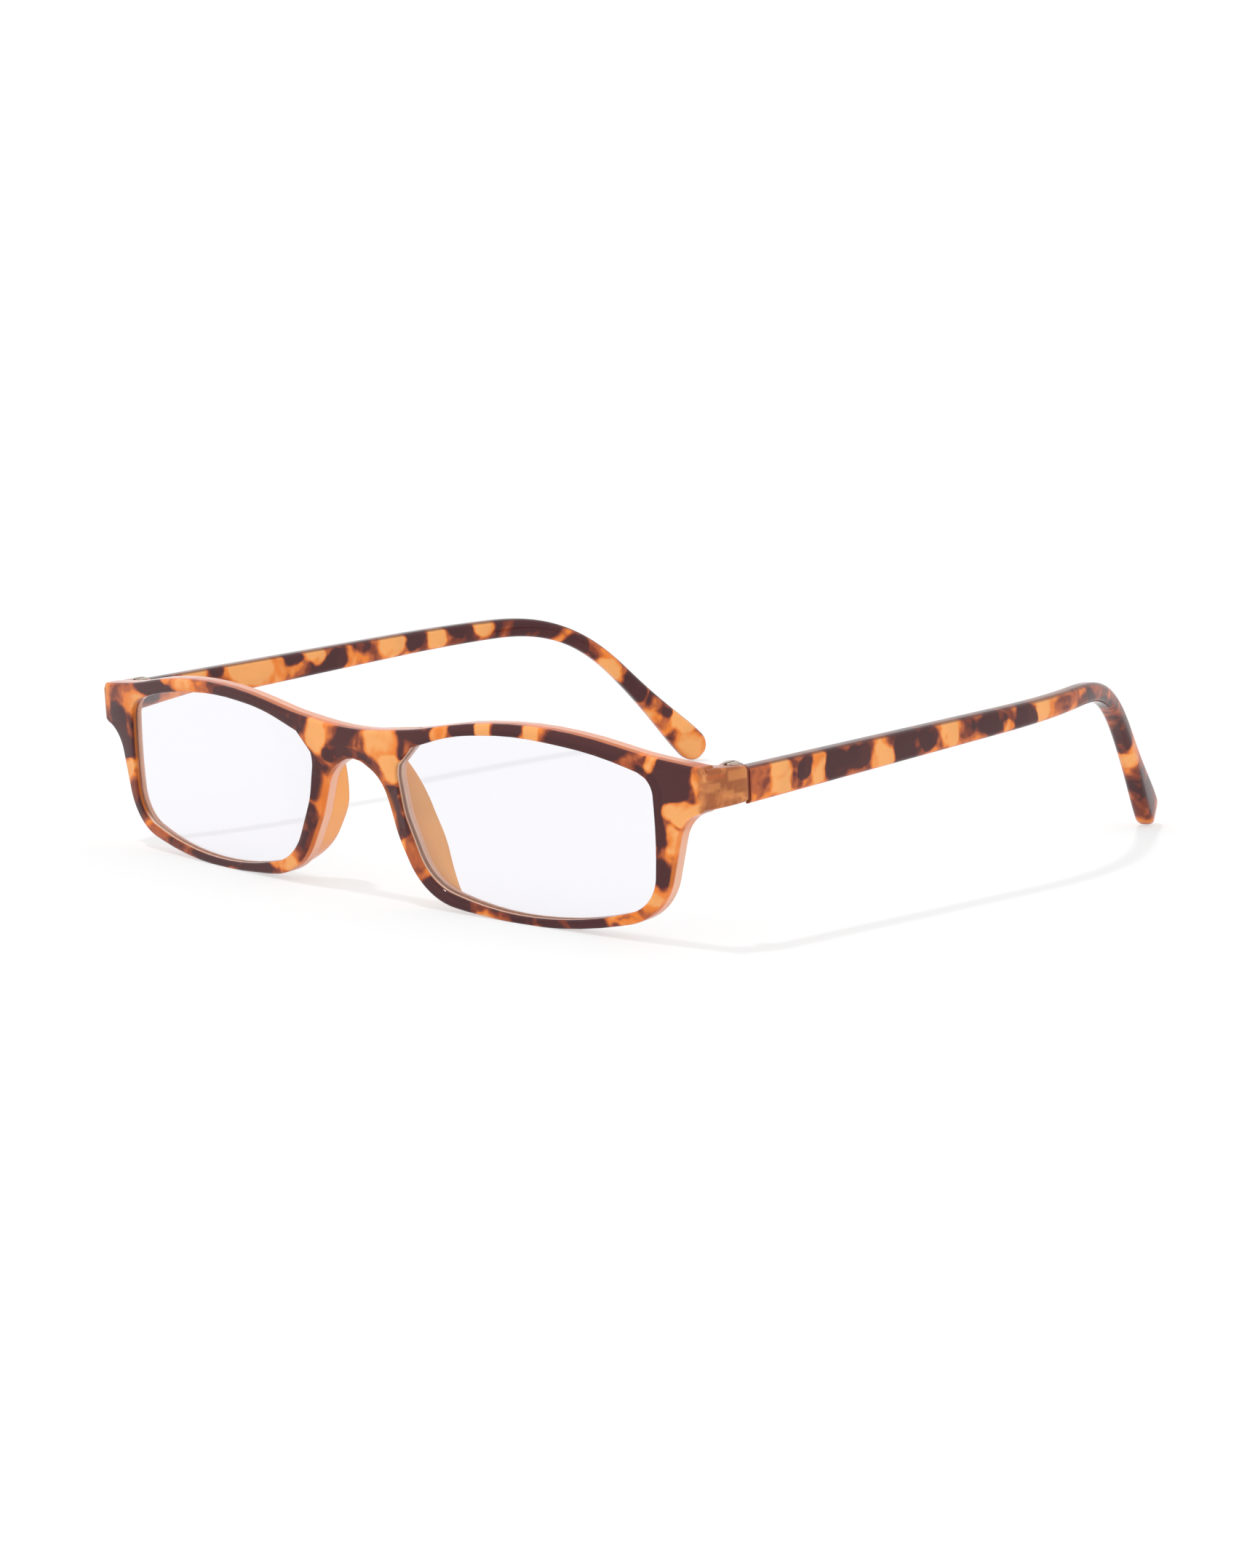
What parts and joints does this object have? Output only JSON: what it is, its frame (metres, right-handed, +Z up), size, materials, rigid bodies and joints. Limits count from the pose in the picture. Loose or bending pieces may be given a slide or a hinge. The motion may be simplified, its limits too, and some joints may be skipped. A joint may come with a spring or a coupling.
{
  "type": "reading glasses",
  "caption": "Slim rectangular full-rim reading glasses with a moulded saddle bridge and nose fins, plano-convex lenses and slender temples on screwed fork hinges.",
  "frame": {"origin": "on the table, under the middle of the glasses' footprint as they rest with the temples open", "axes": "+Z up from the table the glasses rest on, +Y from the front back along the temples, +X towards the wearer's left temple"},
  "size_m": [0.1384, 0.1396, 0.0302],
  "materials": {
    "tortoise_plastic": "polished injection-moulded plastic, translucent amber with brown tortoise flecks",
    "lens": "polished clear lens, colourless",
    "screw_steel": "turned steel with a slotted head"
  },
  "bodies": {
    "front": {"front_frame": "tortoise_plastic", "lens_left": "lens", "lens_right": "lens", "hinge_screw_left": "screw_steel", "hinge_screw_right": "screw_steel"},
    "left_temple": {"temple_left": "tortoise_plastic"},
    "right_temple": {"temple_right": "tortoise_plastic"}
  },
  "joints": [
    {"name": "left_fold", "type": "hinge", "parent": "front", "child": "left_temple", "pos_m": [0.0656, -0.05638, 0.02373], "axis": [0, -0.0685, 0.9976], "range_deg": [0, 85]},
    {"name": "right_fold", "type": "hinge", "parent": "front", "child": "right_temple", "pos_m": [-0.0656, -0.05638, 0.02373], "axis": [0, 0.0685, -0.9976], "range_deg": [0, 78]}
  ]
}
